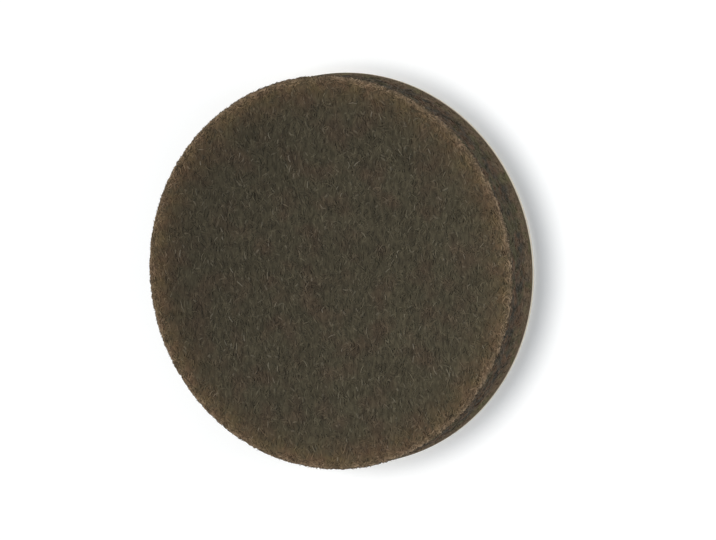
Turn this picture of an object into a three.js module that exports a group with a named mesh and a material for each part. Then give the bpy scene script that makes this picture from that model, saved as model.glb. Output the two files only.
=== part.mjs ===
// A round felt pad with a sticky back, for the foot of a chair or table leg.
// It lies felt side up on its release liner, as it comes before it is used.
// Millimetres, +Z up. The origin is the centre of the liner's underside.

import * as THREE from 'three';

// Driving dimensions. One die cuts all the layers at once, so they share a diameter.
const PAD_DIAMETER = 35;
const FELT_THICKNESS = 5;
const FELT_RIM_RADIUS = 0.3;
const FELT_WALL_HOLLOW = 0.15;
const FELT_SIDE_ADHESIVE_THICKNESS = 0.1;
const CARRIER_FILM_THICKNESS = 0.05;
const FURNITURE_SIDE_ADHESIVE_THICKNESS = 0.1;
const RELEASE_LINER_THICKNESS = 0.12;

// How finely the round shapes are stepped
const TURN_STEPS = 96;
const WALL_STEPS = 6;
const RIM_STEPS = 5;

const PAD_RADIUS = PAD_DIAMETER / 2;
const QUARTER_TURN = Math.PI / 2;

// The wall draws in quickly at its two ends and runs nearly straight between them.
const HOLLOW_POWER = 4;

// Finishes
const feltFinish = new THREE.MeshStandardMaterial({ color: 0x443f33, roughness: 0.95, metalness: 0 });
const adhesiveFinish = new THREE.MeshStandardMaterial({ color: 0xd6cfb8, roughness: 0.25, metalness: 0 });
const filmFinish = new THREE.MeshStandardMaterial({ color: 0xdcdcd8, roughness: 0.2, metalness: 0 });
const linerFinish = new THREE.MeshStandardMaterial({ color: 0xc8c6be, roughness: 0.5, metalness: 0 });

// Outlines are radius and height, from the axis at the underside round to the axis at the top.

// A layer of tape or paper: two flat faces and a straight cut edge
function flatOutline(thickness) {
  return [
    new THREE.Vector2(0, 0),
    new THREE.Vector2(PAD_RADIUS, 0),
    new THREE.Vector2(PAD_RADIUS, thickness),
    new THREE.Vector2(0, thickness),
  ];
}

// The felt: a flat underside, a cut wall that is slightly hollow between its ends, and a soft rim
function feltOutline() {
  const wallHeight = FELT_THICKNESS - FELT_RIM_RADIUS;
  const outline = [new THREE.Vector2(0, 0)];
  for (let step = 0; step < WALL_STEPS; step += 1) {
    const share = step / WALL_STEPS;
    const hollow = FELT_WALL_HOLLOW * (1 - (2 * share - 1) ** HOLLOW_POWER);
    outline.push(new THREE.Vector2(PAD_RADIUS - hollow, wallHeight * share));
  }
  const rimCentre = PAD_RADIUS - FELT_RIM_RADIUS;
  const rim = new THREE.ArcCurve(rimCentre, wallHeight, FELT_RIM_RADIUS, 0, QUARTER_TURN);
  outline.push(...rim.getPoints(RIM_STEPS));
  outline.push(new THREE.Vector2(0, FELT_THICKNESS));
  return outline;
}

// One layer of the pad, turned from its outline about the vertical axis
function layer(name, outline, finish) {
  const geometry = new THREE.LatheGeometry(outline, TURN_STEPS);
  geometry.rotateX(QUARTER_TURN);
  const mesh = new THREE.Mesh(geometry, finish);
  mesh.name = name;
  return mesh;
}

// The siliconised paper that covers the sticky back until the pad is used
function releaseLiner() {
  return layer('release_liner', flatOutline(RELEASE_LINER_THICKNESS), linerFinish);
}

// The adhesive that holds the pad to the furniture
function furnitureSideAdhesive() {
  const outline = flatOutline(FURNITURE_SIDE_ADHESIVE_THICKNESS);
  return layer('furniture_side_adhesive', outline, adhesiveFinish);
}

// The film that carries the adhesive on both its faces
function carrierFilm() {
  return layer('carrier_film', flatOutline(CARRIER_FILM_THICKNESS), filmFinish);
}

// The adhesive that bonds the tape to the felt
function feltSideAdhesive() {
  const outline = flatOutline(FELT_SIDE_ADHESIVE_THICKNESS);
  return layer('felt_side_adhesive', outline, adhesiveFinish);
}

// The thick disc of needle-punched felt that meets the floor
function feltDisc() {
  return layer('felt_disc', feltOutline(), feltFinish);
}

// The layers from the liner up, each with its thickness, and each lying on the one before
const stack = [
  [releaseLiner(), RELEASE_LINER_THICKNESS],
  [furnitureSideAdhesive(), FURNITURE_SIDE_ADHESIVE_THICKNESS],
  [carrierFilm(), CARRIER_FILM_THICKNESS],
  [feltSideAdhesive(), FELT_SIDE_ADHESIVE_THICKNESS],
  [feltDisc(), FELT_THICKNESS],
];

const pad = new THREE.Group();
pad.name = 'felt_furniture_pad';
let underside = 0;
for (const [mesh, thickness] of stack) {
  mesh.position.z = underside;
  pad.add(mesh);
  underside += thickness;
}

export default pad;
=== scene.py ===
"""Looks of a round self-adhesive felt pad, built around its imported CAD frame.

Sizes are in metres in the frame's axes: +Z up, origin at the centre of the liner's underside.
The felt disc becomes a matted body with coats of short fibres over its face, rim and wall.
The tape layers and the release liner keep their CAD shapes and get procedural finishes.
"""

import math
from dataclasses import dataclass

import bpy
import numpy as np
from mathutils import Matrix, Vector, noise


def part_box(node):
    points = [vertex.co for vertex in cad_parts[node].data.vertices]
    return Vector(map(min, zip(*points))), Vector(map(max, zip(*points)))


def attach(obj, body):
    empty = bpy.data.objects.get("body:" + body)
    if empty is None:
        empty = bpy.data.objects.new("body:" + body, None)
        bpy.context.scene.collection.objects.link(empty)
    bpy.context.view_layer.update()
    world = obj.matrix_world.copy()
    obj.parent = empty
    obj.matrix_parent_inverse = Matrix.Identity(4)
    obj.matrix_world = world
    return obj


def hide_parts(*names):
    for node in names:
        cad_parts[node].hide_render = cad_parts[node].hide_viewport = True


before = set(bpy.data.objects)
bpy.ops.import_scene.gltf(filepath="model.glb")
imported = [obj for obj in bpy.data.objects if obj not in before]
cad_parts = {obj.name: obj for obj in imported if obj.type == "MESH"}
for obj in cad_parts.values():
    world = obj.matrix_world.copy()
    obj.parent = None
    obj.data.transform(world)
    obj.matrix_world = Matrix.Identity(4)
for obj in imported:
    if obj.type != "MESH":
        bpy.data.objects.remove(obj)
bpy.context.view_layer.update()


# Units and colours

MM = 0.001
TAU = 2 * math.pi
QUARTER_TURN = TAU / 4
EIGHTH_TURN = TAU / 8
WHITE = (1.0, 1.0, 1.0, 1.0)


def mm(*sizes):
    """Sizes in millimetres, as metres."""
    return tuple(size * MM for size in sizes)


def linear_level(level):
    """A screen level from 0 to 255 as linear light from 0 to 1, by the curve of the sRGB standard."""
    share = level / 255
    if share <= 0.04045:
        return share / 12.92
    return ((share + 0.055) / 1.055) ** 2.4


def srgb(red, green, blue):
    """A screen colour in levels from 0 to 255, as linear red, green and blue with full alpha."""
    return (linear_level(red), linear_level(green), linear_level(blue), 1.0)


# The felt's shape, in the envelope of the CAD node that it stands for

FELT_LOW, FELT_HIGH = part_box("felt_disc")
PAD_RADIUS = (FELT_HIGH.x - FELT_LOW.x) / 2
RIM_RADIUS = 0.3 * MM
WALL_HOLLOW = 0.15 * MM
HOLLOW_POWER = 4

# The skin laid flat: the face, then the rim's arc, then the wall
FACE_REACH = PAD_RADIUS - RIM_RADIUS
RIM_REACH = FACE_REACH + RIM_RADIUS * QUARTER_TURN
WALL_HEIGHT = FELT_HIGH.z - FELT_LOW.z - RIM_RADIUS
SKIN_REACH = RIM_REACH + WALL_HEIGHT
LEAST_REACH = 0.001 * MM

# The matted body under the fibres
BODY_CELLS = 300
BODY_SINK = 0.035 * MM
BODY_LUMPS = 0.04 * MM
BODY_LUMP_SIZE = 0.9 * MM
BODY_RIDGES = 0.03 * MM
BODY_RIDGE_WIDTH = 0.3 * MM
BODY_RIDGE_LENGTH = 0.8 * MM
BODY_RIDGE_SLICE = 7
BODY_FOOT_FADE = 0.3 * MM

# The body's bake sheet, 1 wide: the skin fills it, and the underside lies in a corner that is left
SKIN_SHEET_CENTRE = 0.5
SKIN_SHEET_RADIUS = 0.5
UNDERSIDE_SHEET_CENTRE = 0.085
UNDERSIDE_SHEET_RADIUS = 0.08


def drape(flat, lift):
    """Places points of the flat skin on the disc, each lifted off its surface."""
    reach = np.hypot(flat[..., 0], flat[..., 1])
    way = flat / np.maximum(reach, LEAST_REACH)[..., None]
    turn = np.clip(reach - FACE_REACH, 0, RIM_REACH - FACE_REACH) / RIM_RADIUS
    down = np.clip(reach - RIM_REACH, 0, None)
    share = np.clip(down / WALL_HEIGHT, 0, 1)
    hollow = WALL_HOLLOW * (1 - (2 * share - 1) ** HOLLOW_POWER)
    radius = np.minimum(reach, FACE_REACH) + (RIM_RADIUS + lift) * np.sin(turn) - hollow
    height = FELT_HIGH.z - RIM_RADIUS + (RIM_RADIUS + lift) * np.cos(turn) - down
    return np.concatenate([way * radius[..., None], height[..., None]], axis=-1)


def disc_grid(cells):
    """A square grid of points squeezed evenly into the unit disc, as rows of x and y."""
    steps = np.linspace(-1, 1, cells + 1)
    across, up = np.meshgrid(steps, steps)
    wide = np.abs(across) > np.abs(up)
    ring = np.where(wide, across, up)
    safe = np.where(ring == 0, 1, ring)
    angle = np.where(wide, up / safe, 2 - across / safe) * EIGHTH_TURN
    return np.stack([ring * np.cos(angle), ring * np.sin(angle)], axis=-1)


def grid_quads(index):
    """The quads between neighbouring points of a grid of point numbers."""
    corners = [index[:-1, :-1], index[:-1, 1:], index[1:, 1:], index[1:, :-1]]
    return np.stack(corners, axis=-1).reshape(-1, 4)


def grid_edge(index):
    """The point numbers round the edge of a grid, anticlockwise."""
    return np.concatenate([index[0, :-1], index[:-1, -1], index[-1, :0:-1], index[:0:-1, 0]])


def make_mesh(name, points, faces, uv, material):
    """A smooth closed mesh object, with one bake place for each corner of each face."""
    mesh = bpy.data.meshes.new(name)
    mesh.from_pydata(points.reshape(-1, 3).tolist(), [], faces, shade_flat=False)
    layer = mesh.uv_layers.new(name="OFBake")
    layer.uv.foreach_set("vector", uv.astype(np.float32).ravel())
    mesh.materials.append(material)
    made = bpy.data.objects.new(name, mesh)
    bpy.context.scene.collection.objects.link(made)
    return made


def matted_lift(flat):
    """How far the matted body stands from the felt's surface: low lumps crossed by fine ridges."""
    lift = np.empty(len(flat))
    for number, (x, y) in enumerate(flat):
        lump = noise.noise(Vector((x, y, 0)) / BODY_LUMP_SIZE)
        ridge_place = Vector((x / BODY_RIDGE_WIDTH, y / BODY_RIDGE_LENGTH, BODY_RIDGE_SLICE))
        ridge = noise.noise(ridge_place)
        lift[number] = BODY_LUMPS * lump + BODY_RIDGES * ridge - BODY_SINK
    return lift


def felt_body(material):
    """The closed body of the felt: its skin, and the flat underside that is stuck to the tape."""
    grid = disc_grid(BODY_CELLS)
    index = np.arange(grid[..., 0].size).reshape(grid.shape[:2])
    place = grid.reshape(-1, 2)
    flat = place * SKIN_REACH
    to_foot = SKIN_REACH - np.hypot(flat[:, 0], flat[:, 1])
    lift = matted_lift(flat) * np.clip(to_foot / BODY_FOOT_FADE, 0, 1)
    skin = drape(flat, lift)
    points = np.concatenate([skin, [(0, 0, FELT_LOW.z)]])

    quads = grid_quads(index)
    edge = grid_edge(index)
    after = np.roll(edge, -1)
    middle = np.full(len(edge), len(skin))
    underside = np.column_stack([after, edge, middle])
    faces = quads.tolist() + underside.tolist()

    skin_place = SKIN_SHEET_CENTRE + SKIN_SHEET_RADIUS * place
    all_places = np.concatenate([place, [(0, 0)]])
    underside_place = UNDERSIDE_SHEET_CENTRE + UNDERSIDE_SHEET_RADIUS * all_places
    uv = np.concatenate([
        skin_place[quads].reshape(-1, 2),
        underside_place[underside].reshape(-1, 2),
    ])
    return make_mesh("felt_body", points, faces, uv, material)


# The fibres: closed tubes, each in its own cell of its coat's bake sheet

FIBRE_SIDES = 3
FIBRE_TAPER = (0.45, 0.9, 1.0, 0.9, 0.45)
FIBRE_RINGS = len(FIBRE_TAPER)
FIBRE_SHEET_SHARE = 0.9
SEED = 7


@dataclass
class Coat:
    """One coat of fibres: where on the flat skin it lies, and what its fibres are like.

    A fibre's lift off the skin runs from its root over its crest to its tip.
    Its heading is turned from the +Y nap of the face, or from the way out to the rim.
    Its bend is how far it turns from end to end, and headings and bends vary from fibre to fibre.
    A flatness of 1 is as tall as it is wide, and less is flatter.
    """
    count: int
    inner: float
    outer: float
    length: tuple
    thickness: tuple
    flatness: float
    heading: float
    heading_spread: float
    bend: float
    outward: bool
    root: float
    crest: tuple
    tip: tuple


def fibre_lines(coat, rng):
    """The fibres' centre lines on the flat skin, and how far each point is lifted off it."""
    reach = np.sqrt(rng.uniform(coat.inner ** 2, coat.outer ** 2, coat.count))
    angle = rng.uniform(0, TAU, coat.count)
    centre = reach[:, None] * np.column_stack([np.cos(angle), np.sin(angle)])
    heading = rng.normal(coat.heading, coat.heading_spread, coat.count)
    heading += angle if coat.outward else QUARTER_TURN
    bend = rng.normal(0, coat.bend, coat.count)
    length = rng.uniform(*coat.length, coat.count)
    crest = rng.uniform(*coat.crest, coat.count)[:, None]
    tip = rng.uniform(*coat.tip, coat.count)[:, None]

    along = np.linspace(-0.5, 0.5, FIBRE_RINGS)
    turn = heading[:, None] + bend[:, None] * along
    way = np.stack([np.cos(turn), np.sin(turn)], axis=-1)
    path = np.cumsum(way * length[:, None, None] / (FIBRE_RINGS - 1), axis=1)
    flat = centre[:, None] + path - path.mean(axis=1, keepdims=True)
    straight = coat.root + (tip - coat.root) * (along + 0.5)
    arch = 1 - (2 * along) ** 2
    lift = straight + (crest - (coat.root + tip) / 2) * arch
    return flat, lift


def tube_points(flat, lift, thickness, flatness, rng):
    """The rings of tapered, flattened tubes along lines on the flat skin, draped over the disc."""
    ahead = np.gradient(flat, axis=1)
    ahead /= np.linalg.norm(ahead, axis=-1, keepdims=True)
    aside = np.stack([-ahead[..., 1], ahead[..., 0]], axis=-1)
    roll = rng.uniform(0, TAU, len(flat))
    around = roll[:, None] + TAU * np.arange(FIBRE_SIDES) / FIBRE_SIDES
    radius = thickness[:, None, None] / 2 * np.array(FIBRE_TAPER)[:, None]
    sideways = radius * np.cos(around)[:, None]
    upward = radius * np.sin(around)[:, None] * flatness
    ring_flat = flat[:, :, None] + aside[:, :, None] * sideways[..., None]
    return drape(ring_flat, lift[:, :, None] + upward)


def tube_grid():
    """The row and the side of each quad of one tube."""
    rows, sides = np.meshgrid(np.arange(FIBRE_RINGS - 1), np.arange(FIBRE_SIDES), indexing="ij")
    return rows.ravel(), sides.ravel()


def tube_faces(count):
    """The faces of closed tubes: all the quads, then the near caps, then the far caps."""
    rows, sides = tube_grid()
    after = (sides + 1) % FIBRE_SIDES
    near = rows * FIBRE_SIDES
    far = near + FIBRE_SIDES
    quads = np.column_stack([near + sides, near + after, far + after, far + sides])
    near_cap = np.arange(FIBRE_SIDES)[::-1]
    far_cap = np.arange(FIBRE_SIDES) + (FIBRE_RINGS - 1) * FIBRE_SIDES
    first = np.arange(count)[:, None] * FIBRE_RINGS * FIBRE_SIDES
    all_quads = (first[:, :, None] + quads).reshape(-1, 4)
    all_caps = np.concatenate([first + near_cap, first + far_cap])
    return all_quads.tolist() + all_caps.tolist()


def tube_places(count):
    """The bake places of the tubes' corners, in the order of their faces."""
    rows, sides = tube_grid()
    quads = np.stack([
        np.column_stack([sides, sides + 1, sides + 1, sides]) / FIBRE_SIDES,
        np.column_stack([rows, rows, rows + 1, rows + 1]) / (FIBRE_RINGS - 1),
    ], axis=-1)
    far_cap = np.stack([np.arange(FIBRE_SIDES) / FIBRE_SIDES, np.ones(FIBRE_SIDES)], axis=-1)
    near_cap = far_cap[::-1] - (0, 1)
    columns = math.ceil(math.sqrt(count))
    number = np.arange(count)
    cell = np.column_stack([number % columns, number // columns])
    shapes = [quads.reshape(-1, 2), near_cap, far_cap]
    places = [(cell[:, None] + FIBRE_SHEET_SHARE * shape).reshape(-1, 2) for shape in shapes]
    return np.concatenate(places) / columns


def fibre_coat(name, coat, material, rng):
    """A piece holding one coat of fibres, laid over the face, rim or wall."""
    flat, lift = fibre_lines(coat, rng)
    thickness = rng.uniform(*coat.thickness, coat.count)
    points = tube_points(flat, lift, thickness, coat.flatness, rng)
    return make_mesh(name, points, tube_faces(coat.count), tube_places(coat.count), material)


# Nodes

# The colour sockets of a mix node, which share their names with its other sockets
MIX_FIRST = 6
MIX_SECOND = 7
MIX_RESULT = 2

# How finely noise is broken up, and the part of its range that is drawn out to run from 0 to 1
SMOOTH = 1.0
LUMPY = 2.0
GRAINY = 4.0
NOISE_SPREAD = (0.3, 0.7)


def add(tree, kind, inputs=None, **settings):
    """Adds a node with its settings, and sets or joins its inputs by name or number."""
    made = tree.nodes.new(kind)
    for name, value in settings.items():
        setattr(made, name, value)
    for name, value in (inputs or {}).items():
        if isinstance(value, bpy.types.NodeSocket):
            tree.links.new(value, made.inputs[name])
        else:
            made.inputs[name].default_value = value
    return made


def maths(tree, operation, *values):
    """A maths node's result."""
    return add(tree, "ShaderNodeMath", dict(enumerate(values)), operation=operation).outputs["Value"]


def level_between(tree, share, least, most):
    """The level that is least at a share of 0 and most at a share of 1."""
    return maths(tree, "MULTIPLY_ADD", share, most - least, least)


def share_between(tree, value, start, stop):
    """How far a value has come from start, 0, to stop, 1."""
    made = add(tree, "ShaderNodeMapRange", {"Value": value, "From Min": start, "From Max": stop})
    return made.outputs["Result"]


def mix_colour(tree, share, first, second):
    """The first colour turned into the second by a share from 0 to 1."""
    inputs = {"Factor": share, MIX_FIRST: first, MIX_SECOND: second}
    return add(tree, "ShaderNodeMix", inputs, data_type="RGBA").outputs[MIX_RESULT]


def scale_colour(tree, colour, level):
    """A colour made lighter or darker by a level."""
    scaled = add(tree, "ShaderNodeVectorMath", {0: colour, "Scale": level}, operation="SCALE")
    return scaled.outputs["Vector"]


def object_place(tree):
    """The place on the object where the material is read."""
    return add(tree, "ShaderNodeTexCoord").outputs["Object"]


def stretched(tree, place, stretch):
    """A place with its axes scaled: noise read there is drawn out along those below 1."""
    return add(tree, "ShaderNodeMapping", {"Vector": place, "Scale": stretch}).outputs["Vector"]


def spread_noise(tree, place, size, detail, spread=NOISE_SPREAD, crinkle=0.0):
    """Noise from 0 to 1 with lumps of about the given size, which a crinkle bends.

    The spread is the part of the noise's own range that is drawn out, and the rest is cut off.
    """
    made = add(tree, "ShaderNodeTexNoise", {
        "Vector": place,
        "Scale": 1 / size,
        "Detail": detail,
        "Distortion": crinkle,
    })
    return share_between(tree, made.outputs["Fac"], *spread)


def bumped(tree, height, strength, depth):
    """The surface's direction, tilted by a height from 0 to 1."""
    made = add(tree, "ShaderNodeBump", {"Height": height, "Strength": strength, "Distance": depth})
    return made.outputs["Normal"]


def new_material(name):
    """An empty node material, and its node tree."""
    material = bpy.data.materials.new(name)
    material.use_nodes = True
    material.node_tree.nodes.clear()
    return material, material.node_tree


def finish_material(tree, surface):
    """Joins a shader to the material's output."""
    add(tree, "ShaderNodeOutputMaterial", {"Surface": surface})


# The felt's colours

# The face: olive with browner patches, soft clumps and crinkled streaks, and a painted light slope that
# makes it lighter towards +X and a little towards -Y
FACE_OLIVE = srgb(68, 63, 49)
FACE_BROWN = srgb(71, 61, 48)
MOTTLE_SIZE = 2.8 * MM
MOTTLE_RANGE = (0.48, 0.68)
HUE_SHARE = 0.2
CLUMP_SIZE = 3.5 * MM
CLUMP_LEVELS = (0.935, 1.065)
STREAK_SIZE = 0.36 * MM
STREAK_STRETCH = (1.0, 0.4, 1.0)
STREAK_CRINKLE = 0.6
STREAK_LEVELS = (0.74, 1.26)
PAINTED_LIGHT_SLOPE = (0.2, -0.08, 0.0)

# The rim: painted sheen where its fuzzed fibres catch the light, as a tan edge over a broad lighter glow
# of two browns, both stronger and weaker in patches
RIM_TAN = srgb(140, 121, 99)
RIM_BROWN = srgb(110, 84, 61)
RIM_GOLD = srgb(106, 87, 57)
RIM_HUE_SIZE = 1.8 * MM
RIM_HUE_RANGE = (0.4, 0.6)
RIM_EDGE = dict(strength=0.7, start=0.905 * PAD_RADIUS, power=3.7)
RIM_GLOW = dict(strength=0.75, start=0.6 * PAD_RADIUS, power=5.0)
RIM_PATCH_SIZE = 1.3 * MM
RIM_PATCH_LEVELS = (0.15, 1.85)

# Where the rim turns into the wall, at a height that wanders a little
WALL_START = FELT_HIGH.z - 0.04 * MM
WALL_FULL = FELT_HIGH.z - 0.16 * MM
WALL_REACH_START = FACE_REACH - 0.1 * MM
WALL_WANDER = 0.12 * MM
WALL_WANDER_SIZE = 0.8 * MM

# The wall: patches of grey, brown and olive, and a foot painted lighter as if lit by light bounced off
# the table, up to a height that wanders
WALL_GREY = srgb(66, 62, 53)
WALL_BROWN = srgb(94, 74, 57)
WALL_OLIVE = srgb(79, 73, 54)
WALL_PATCH_SIZE = 0.9 * MM
WALL_PATCH_RANGE = (0.37, 0.63)
WALL_OLIVE_SIZE = 1.6 * MM
WALL_OLIVE_RANGE = (0.5, 0.65)
BOUNCE_LIT_BROWN = srgb(116, 98, 77)
BOUNCE_LIT_OLIVE = srgb(111, 102, 72)
BOUNCE_LIT_SHARE = 0.8
BOUNCE_LIT_START = FELT_LOW.z + 2.5 * MM
BOUNCE_LIT_FULL = FELT_LOW.z + 1.25 * MM
BOUNCE_LIT_WANDER = 1.4 * MM
BOUNCE_LIT_WANDER_SIZE = 1.4 * MM


def face_colour(tree, place, hue):
    """The face's colour at a place, at a hue where 1 is browner than 0, with a painted light slope
    across it.
    """
    mottle = spread_noise(tree, place, MOTTLE_SIZE, LUMPY, MOTTLE_RANGE)
    brownness = maths(tree, "MULTIPLY_ADD", hue, HUE_SHARE, mottle)
    face = mix_colour(tree, brownness, FACE_OLIVE, FACE_BROWN)
    streak_place = stretched(tree, place, STREAK_STRETCH)
    streak = spread_noise(tree, streak_place, STREAK_SIZE, SMOOTH, crinkle=STREAK_CRINKLE)
    streak_level = level_between(tree, streak, *STREAK_LEVELS)
    clump = spread_noise(tree, place, CLUMP_SIZE, SMOOTH)
    clump_level = level_between(tree, clump, *CLUMP_LEVELS)
    # Painted light: the face is made lighter towards +X and a little towards -Y, as if lit more on that
    # side
    painted_light = add(tree, "ShaderNodeVectorMath", {0: place, 1: PAINTED_LIGHT_SLOPE}, operation="DOT_PRODUCT")
    painted_light_level = maths(tree, "MULTIPLY_ADD", painted_light.outputs["Value"], 1 / PAD_RADIUS, 1.0)
    clump_and_painted_light_level = maths(tree, "MULTIPLY", clump_level, painted_light_level)
    return scale_colour(tree, face, maths(tree, "MULTIPLY", clump_and_painted_light_level, streak_level))


def rim_share(tree, reach, strength, start, power):
    """How much of the rim's painted sheen, as edge or glow, there is at a distance from the pad's axis.
    """
    share = share_between(tree, reach, start, PAD_RADIUS)
    return maths(tree, "MULTIPLY", maths(tree, "POWER", share, power), strength)


def rim_sheen_colour(tree, place, reach, hue):
    """The face's colour with the rim's painted sheen over it: a broad lighter glow, and a tan edge over
    both.
    """
    # Painted sheen: the rim is made lighter, a broad glow and a tan edge, where its fuzzed fibres catch
    # the light
    patch = spread_noise(tree, place, RIM_PATCH_SIZE, LUMPY)
    mean = maths(tree, "DIVIDE", maths(tree, "ADD", patch, hue), 2)
    patch_level = level_between(tree, mean, *RIM_PATCH_LEVELS)
    glow = maths(tree, "MULTIPLY", rim_share(tree, reach, **RIM_GLOW), patch_level)
    edge = maths(tree, "MULTIPLY", rim_share(tree, reach, **RIM_EDGE), patch_level)
    rim_hue = spread_noise(tree, place, RIM_HUE_SIZE, LUMPY, RIM_HUE_RANGE)
    brown_or_gold = mix_colour(tree, rim_hue, RIM_BROWN, RIM_GOLD)
    face_and_glow = mix_colour(tree, glow, face_colour(tree, place, hue), brown_or_gold)
    return mix_colour(tree, edge, face_and_glow, RIM_TAN)


def wall_colour(tree, place, height):
    """The wall's colour at a place, with painted bounce light that makes it lighter towards its foot."""
    patch = spread_noise(tree, place, WALL_PATCH_SIZE, LUMPY, WALL_PATCH_RANGE)
    grey_or_brown = mix_colour(tree, patch, WALL_GREY, WALL_BROWN)
    olive = spread_noise(tree, place, WALL_OLIVE_SIZE, LUMPY, WALL_OLIVE_RANGE)
    wall = mix_colour(tree, olive, grey_or_brown, WALL_OLIVE)
    # Painted light: the wall's foot is made lighter, standing in for light bounced up off the table
    wander = spread_noise(tree, place, BOUNCE_LIT_WANDER_SIZE, LUMPY)
    wandering_height = maths(tree, "MULTIPLY_ADD", wander, BOUNCE_LIT_WANDER, height)
    bounce_lit = share_between(tree, wandering_height, BOUNCE_LIT_START, BOUNCE_LIT_FULL)
    bounce_lit_colour = mix_colour(tree, olive, BOUNCE_LIT_BROWN, BOUNCE_LIT_OLIVE)
    return mix_colour(tree, maths(tree, "MULTIPLY", bounce_lit, BOUNCE_LIT_SHARE), wall, bounce_lit_colour)


def wall_share(tree, place, height, reach):
    """Nothing on the face and one on the wall, with a short change below the rim."""
    wander = spread_noise(tree, place, WALL_WANDER_SIZE, SMOOTH)
    wandering_height = maths(tree, "MULTIPLY_ADD", wander, WALL_WANDER, height)
    low_enough = share_between(tree, wandering_height, WALL_START, WALL_FULL)
    far_enough = share_between(tree, reach, WALL_REACH_START, FACE_REACH)
    return maths(tree, "MULTIPLY", low_enough, far_enough)


def distance_from_axis(tree, place):
    """How far a place is from the pad's axis."""
    level = add(tree, "ShaderNodeVectorMath", {0: place, 1: (1, 1, 0)}, operation="MULTIPLY")
    length = add(tree, "ShaderNodeVectorMath", {0: level.outputs["Vector"]}, operation="LENGTH")
    return length.outputs["Value"]


def felt_colour(tree, place, tone, hue):
    """The felt's colour at a place, at a tone where 1 is plain and a hue where 1 is browner than 0."""
    height = add(tree, "ShaderNodeSeparateXYZ", {"Vector": place}).outputs["Z"]
    reach = distance_from_axis(tree, place)
    face_and_rim = rim_sheen_colour(tree, place, reach, hue)
    wall = wall_colour(tree, place, height)
    felt = mix_colour(tree, wall_share(tree, place, height, reach), face_and_rim, wall)
    return scale_colour(tree, felt, tone)


# Materials

# Felt is rough and dry, with a faint sheen where it is seen edge on
FELT_FINISH = {
    "Roughness": 0.95,
    "Specular IOR Level": 0.2,
    "Sheen Weight": 0.1,
    "Sheen Roughness": 0.5,
    "Sheen Tint": RIM_TAN,
}

# The mat under the fibres
MAT_STREAK_SIZE = 0.2 * MM
MAT_STREAK_STRETCH = (1.0, 0.3, 0.6)
MAT_TONES = (0.6, 1.1)
MAT_HUE = 0.5
MAT_BUMP = dict(strength=0.5, depth=0.05 * MM)

# The fibres: the steps turn each one's chance into a hue, and the power sets how few are pale
HUE_STEPS = 31.0
PALE_FIBRE = srgb(132, 124, 110)
PALE_POWER = 14.0

# The layers of the tape, and the liner's paper
LAYER_BUMP = dict(strength=0.2, depth=0.02 * MM)
GRAIN_ROUGHNESS = 0.12
ADHESIVE = dict(
    colour=srgb(246, 229, 202),
    shade=srgb(236, 218, 189),
    roughness=0.25,
    grain_size=0.6 * MM,
)
LINER_PAPER = dict(
    colour=srgb(245, 233, 211),
    shade=srgb(237, 223, 199),
    roughness=0.5,
    grain_size=0.25 * MM,
)
CARRIER_FILM = dict(
    colour=srgb(243, 236, 225),
    shade=srgb(235, 228, 216),
    roughness=0.2,
    grain_size=0.8 * MM,
)


def felt_body_material():
    """The mat under the fibres: a little darker, and streaked along the nap."""
    material, tree = new_material("felt_mat")
    place = object_place(tree)
    streak = spread_noise(tree, stretched(tree, place, MAT_STREAK_STRETCH), MAT_STREAK_SIZE, LUMPY)
    tone = level_between(tree, streak, *MAT_TONES)
    shader = add(tree, "ShaderNodeBsdfPrincipled", {
        "Base Color": felt_colour(tree, place, tone, MAT_HUE),
        "Normal": bumped(tree, streak, **MAT_BUMP),
        **FELT_FINISH,
    })
    finish_material(tree, shader.outputs["BSDF"])
    return material


def fibre_material(name, dark, light, power, pale):
    """Fibres of many tones from dark to light, a few of them paler. The power sets how few are light."""
    material, tree = new_material(name)
    place = object_place(tree)
    chance = add(tree, "ShaderNodeNewGeometry").outputs["Random Per Island"]
    tone = level_between(tree, maths(tree, "POWER", chance, power), dark, light)
    hue = maths(tree, "FRACT", maths(tree, "MULTIPLY", chance, HUE_STEPS))
    felt = felt_colour(tree, place, tone, hue)
    paleness = maths(tree, "MULTIPLY", maths(tree, "POWER", chance, PALE_POWER), pale)
    shader = add(tree, "ShaderNodeBsdfPrincipled", {
        "Base Color": mix_colour(tree, paleness, felt, PALE_FIBRE),
        **FELT_FINISH,
    })
    finish_material(tree, shader.outputs["BSDF"])
    return material


def layer_material(name, colour, shade, roughness, grain_size):
    """A thin layer of tape or paper: a faintly mottled colour with a fine grain."""
    material, tree = new_material(name)
    grain = spread_noise(tree, object_place(tree), grain_size, GRAINY)
    shader = add(tree, "ShaderNodeBsdfPrincipled", {
        "Base Color": mix_colour(tree, grain, shade, colour),
        "Roughness": level_between(tree, grain, roughness, roughness + GRAIN_ROUGHNESS),
        "Normal": bumped(tree, grain, **LAYER_BUMP),
    })
    finish_material(tree, shader.outputs["BSDF"])
    return material


# Pieces

body = felt_body(felt_body_material())
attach(body, "pad")
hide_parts("felt_disc")

low_fibre = fibre_material("felt_fibre_low", dark=0.81, light=1.2, power=1.0, pale=0.0)
middle_fibre = fibre_material("felt_fibre_middle", dark=0.83, light=1.25, power=1.1, pale=0.1)
top_fibre = fibre_material("felt_fibre_top", dark=0.85, light=1.31, power=1.4, pale=0.2)
hair_fibre = fibre_material("felt_fibre_hair", dark=0.87, light=1.8, power=2.4, pale=0.5)
curl_fibre = fibre_material("felt_fibre_curl", dark=1.0, light=2.0, power=1.6, pale=0.5)
rim_fibre = fibre_material("felt_fibre_rim", dark=0.5, light=1.6, power=1.1, pale=0.2)
wall_fibre = fibre_material("felt_fibre_wall", dark=0.55, light=1.55, power=1.2, pale=0.2)

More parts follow.
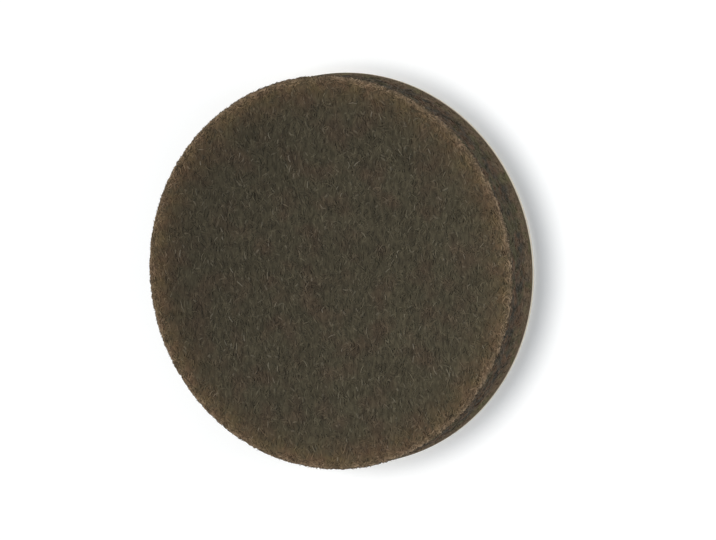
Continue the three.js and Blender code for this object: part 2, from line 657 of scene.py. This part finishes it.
# The ways that the fibres run
NAP = dict(heading=0, heading_spread=0.75, bend=1.5)
HAIR = dict(heading=0, heading_spread=0.4, bend=0.9)
CURL = dict(heading=0, heading_spread=0.9, bend=1.8)
ALONG_RIM = dict(heading=QUARTER_TURN, heading_spread=0.5, bend=1.2)
OUT_OF_RIM = dict(heading=0, heading_spread=0.9, bend=1.2)
ALONG_WALL = dict(heading=QUARTER_TURN, heading_spread=1.2, bend=1.2)

# The parts of the skin that they cover, and tips that lie down in the mat
FACE_COAT = dict(inner=0, outer=RIM_REACH, outward=False, flatness=0.4, root=-0.12 * MM)
RIM_COAT = dict(inner=FACE_REACH - 0.4 * MM, outer=RIM_REACH + 0.1 * MM, outward=True, flatness=1.0)
WALL_COAT = dict(inner=RIM_REACH + 0.2 * MM, outer=SKIN_REACH - 0.3 * MM, outward=True, flatness=1.0)
LYING_TIP = mm(-0.12, -0.1)

COATS = {
    "felt_face_fibres_low": (low_fibre, Coat(
        count=7000, length=mm(0.4, 1.1), thickness=mm(0.28, 0.38),
        crest=mm(-0.1, -0.07), tip=LYING_TIP, **NAP, **FACE_COAT)),
    "felt_face_fibres_middle": (middle_fibre, Coat(
        count=7000, length=mm(0.45, 1.2), thickness=mm(0.26, 0.35),
        crest=mm(-0.07, -0.04), tip=LYING_TIP, **NAP, **FACE_COAT)),
    "felt_face_fibres_high": (top_fibre, Coat(
        count=7000, length=mm(0.4, 1.1), thickness=mm(0.22, 0.3),
        crest=mm(-0.04, -0.01), tip=LYING_TIP, **NAP, **FACE_COAT)),
    "felt_face_hairs": (hair_fibre, Coat(
        count=1800, length=mm(0.5, 1.3), thickness=mm(0.1, 0.15),
        crest=mm(0.0, 0.03), tip=LYING_TIP, **HAIR, **FACE_COAT)),
    "felt_face_curls": (curl_fibre, Coat(
        count=250, length=mm(0.8, 1.8), thickness=mm(0.08, 0.12),
        crest=mm(0.01, 0.05), tip=LYING_TIP, **CURL, **FACE_COAT)),
    "felt_rim_fibres": (rim_fibre, Coat(
        count=2000, length=mm(0.4, 1.0), thickness=mm(0.1, 0.16), root=-0.08 * MM,
        crest=mm(-0.02, 0.03), tip=LYING_TIP, **ALONG_RIM, **RIM_COAT)),
    "felt_rim_fringe": (rim_fibre, Coat(
        count=2200, length=mm(0.25, 0.55), thickness=mm(0.05, 0.09), root=-0.1 * MM,
        crest=mm(-0.01, 0.03), tip=mm(-0.02, 0.15), **OUT_OF_RIM, **RIM_COAT)),
    "felt_wall_fibres": (wall_fibre, Coat(
        count=7000, length=mm(0.3, 0.9), thickness=mm(0.1, 0.16), root=-0.1 * MM,
        crest=mm(-0.05, -0.01), tip=LYING_TIP, **ALONG_WALL, **WALL_COAT)),
}
rng = np.random.default_rng(SEED)
for name, (fibre, coat) in COATS.items():
    piece = fibre_coat(name, coat, fibre, rng)
    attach(piece, "pad")

adhesive = layer_material("adhesive", **ADHESIVE)
TAPE_FINISHES = {
    "release_liner": layer_material("liner_paper", **LINER_PAPER),
    "furniture_side_adhesive": adhesive,
    "carrier_film": layer_material("carrier_film", **CARRIER_FILM),
    "felt_side_adhesive": adhesive,
}
for name, finish in TAPE_FINISHES.items():
    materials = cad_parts[name].data.materials
    materials.clear()
    materials.append(finish)


# Camera: the photograph's own viewpoint, found from the ellipses of the pad's two rims

IMAGE_WIDTH = 716
IMAGE_HEIGHT = 540
SENSOR_WIDTH = 36.0
CAMERA_TILT = math.radians(23.57)
CAMERA_DIRECTION = math.radians(11.89)
CAMERA_DISTANCE = 40 * PAD_RADIUS
PAD_PIXEL_RADIUS = 196.0
PAD_PIXEL_CENTRE = (350.6, 268.4)


def make_camera():
    """A distant camera that shows the pad at the photograph's angle, size and place."""
    tilt_axis = Vector((-math.sin(CAMERA_DIRECTION), math.cos(CAMERA_DIRECTION), 0))
    turn = Matrix.Rotation(CAMERA_TILT, 4, tilt_axis)
    pixel = PAD_RADIUS / PAD_PIXEL_RADIUS
    aside = (IMAGE_WIDTH / 2 - PAD_PIXEL_CENTRE[0]) * pixel
    upward = (PAD_PIXEL_CENTRE[1] - IMAGE_HEIGHT / 2) * pixel
    target = Matrix.Translation((0, 0, FELT_LOW.z))
    data = bpy.data.cameras.new("camera")
    data.sensor_width = SENSOR_WIDTH
    data.lens = SENSOR_WIDTH * CAMERA_DISTANCE / (IMAGE_WIDTH * pixel)
    camera = bpy.data.objects.new("camera", data)
    camera.matrix_world = target @ turn @ Matrix.Translation((aside, upward, CAMERA_DISTANCE))
    bpy.context.scene.collection.objects.link(camera)
    bpy.context.scene.camera = camera


# Floor and light: on the floor the lamps and the surroundings add up to about 1, a plain level

FLOOR_SIDE = 6.0
FLOOR_DROP = 0.01 * MM
FLOOR_COLOUR = (0.9, 0.9, 0.9, 1.0)
FLOOR_GLOW = 0.15
WORLD_COLOUR = (0.85, 0.93, 1.0, 1.0)
WORLD_LEVEL = 0.39
KEY_LAMP = dict(level=0.65, colour=(1.0, 0.98, 0.95), angle=31, elevation=71, bearing=179)
FILL_LAMP = dict(level=0.06, colour=(0.86, 0.92, 1.0), angle=20, elevation=11, bearing=5)


def seen_share(tree):
    """One for rays from the camera and for mirrored or clear views, and nothing for other rays."""
    path = add(tree, "ShaderNodeLightPath").outputs
    mirrored = maths(tree, "MAXIMUM", path["Is Camera Ray"], path["Is Glossy Ray"])
    return maths(tree, "MAXIMUM", mirrored, path["Is Transmission Ray"])


def make_floor():
    """A plain white table top that keeps the pad's shadow."""
    material, tree = new_material("white_table")
    surface = add(tree, "ShaderNodeBsdfDiffuse", {"Color": FLOOR_COLOUR})
    glow_strength = maths(tree, "MULTIPLY", seen_share(tree), FLOOR_GLOW)
    glow = add(tree, "ShaderNodeEmission", {"Strength": glow_strength})
    both = add(tree, "ShaderNodeAddShader", {0: surface.outputs["BSDF"], 1: glow.outputs["Emission"]})
    finish_material(tree, both.outputs["Shader"])
    side = FLOOR_SIDE / 2
    mesh = bpy.data.meshes.new("floor")
    corners = [(-side, -side), (side, -side), (side, side), (-side, side)]
    mesh.from_pydata([(x, y, -FLOOR_DROP) for x, y in corners], [], [(0, 1, 2, 3)])
    mesh.materials.append(material)
    floor = bpy.data.objects.new("floor", mesh)
    bpy.context.scene.collection.objects.link(floor)


def make_world():
    """Even surroundings that light the pad softly and show as plain white."""
    world = bpy.data.worlds.new("surroundings")
    world.use_nodes = True
    tree = world.node_tree
    tree.nodes.clear()
    light = add(tree, "ShaderNodeBackground", {"Color": WORLD_COLOUR, "Strength": WORLD_LEVEL})
    white = add(tree, "ShaderNodeBackground", {"Color": WHITE, "Strength": 1.0})
    both = add(tree, "ShaderNodeMixShader", {
        0: seen_share(tree),
        1: light.outputs["Background"],
        2: white.outputs["Background"],
    })
    add(tree, "ShaderNodeOutputWorld", {"Surface": both.outputs["Shader"]})
    bpy.context.scene.world = world


def make_sun(name, level, colour, angle, elevation, bearing):
    """A distant soft lamp that gives a level floor the given light, all angles in degrees."""
    height = math.radians(elevation)
    side = math.radians(bearing)
    data = bpy.data.lights.new(name, "SUN")
    data.angle = math.radians(angle)
    data.color = colour
    data.energy = level * math.pi / math.sin(height)
    lamp = bpy.data.objects.new(name, data)
    towards = Vector((
        math.cos(height) * math.cos(side),
        math.cos(height) * math.sin(side),
        math.sin(height),
    ))
    lamp.rotation_mode = "QUATERNION"
    lamp.rotation_quaternion = towards.to_track_quat("Z", "Y")
    bpy.context.scene.collection.objects.link(lamp)


make_camera()
make_floor()
make_world()
make_sun("key", **KEY_LAMP)
make_sun("fill", **FILL_LAMP)
bpy.context.scene.view_settings.view_transform = "Standard"

bpy.context.view_layer.update()
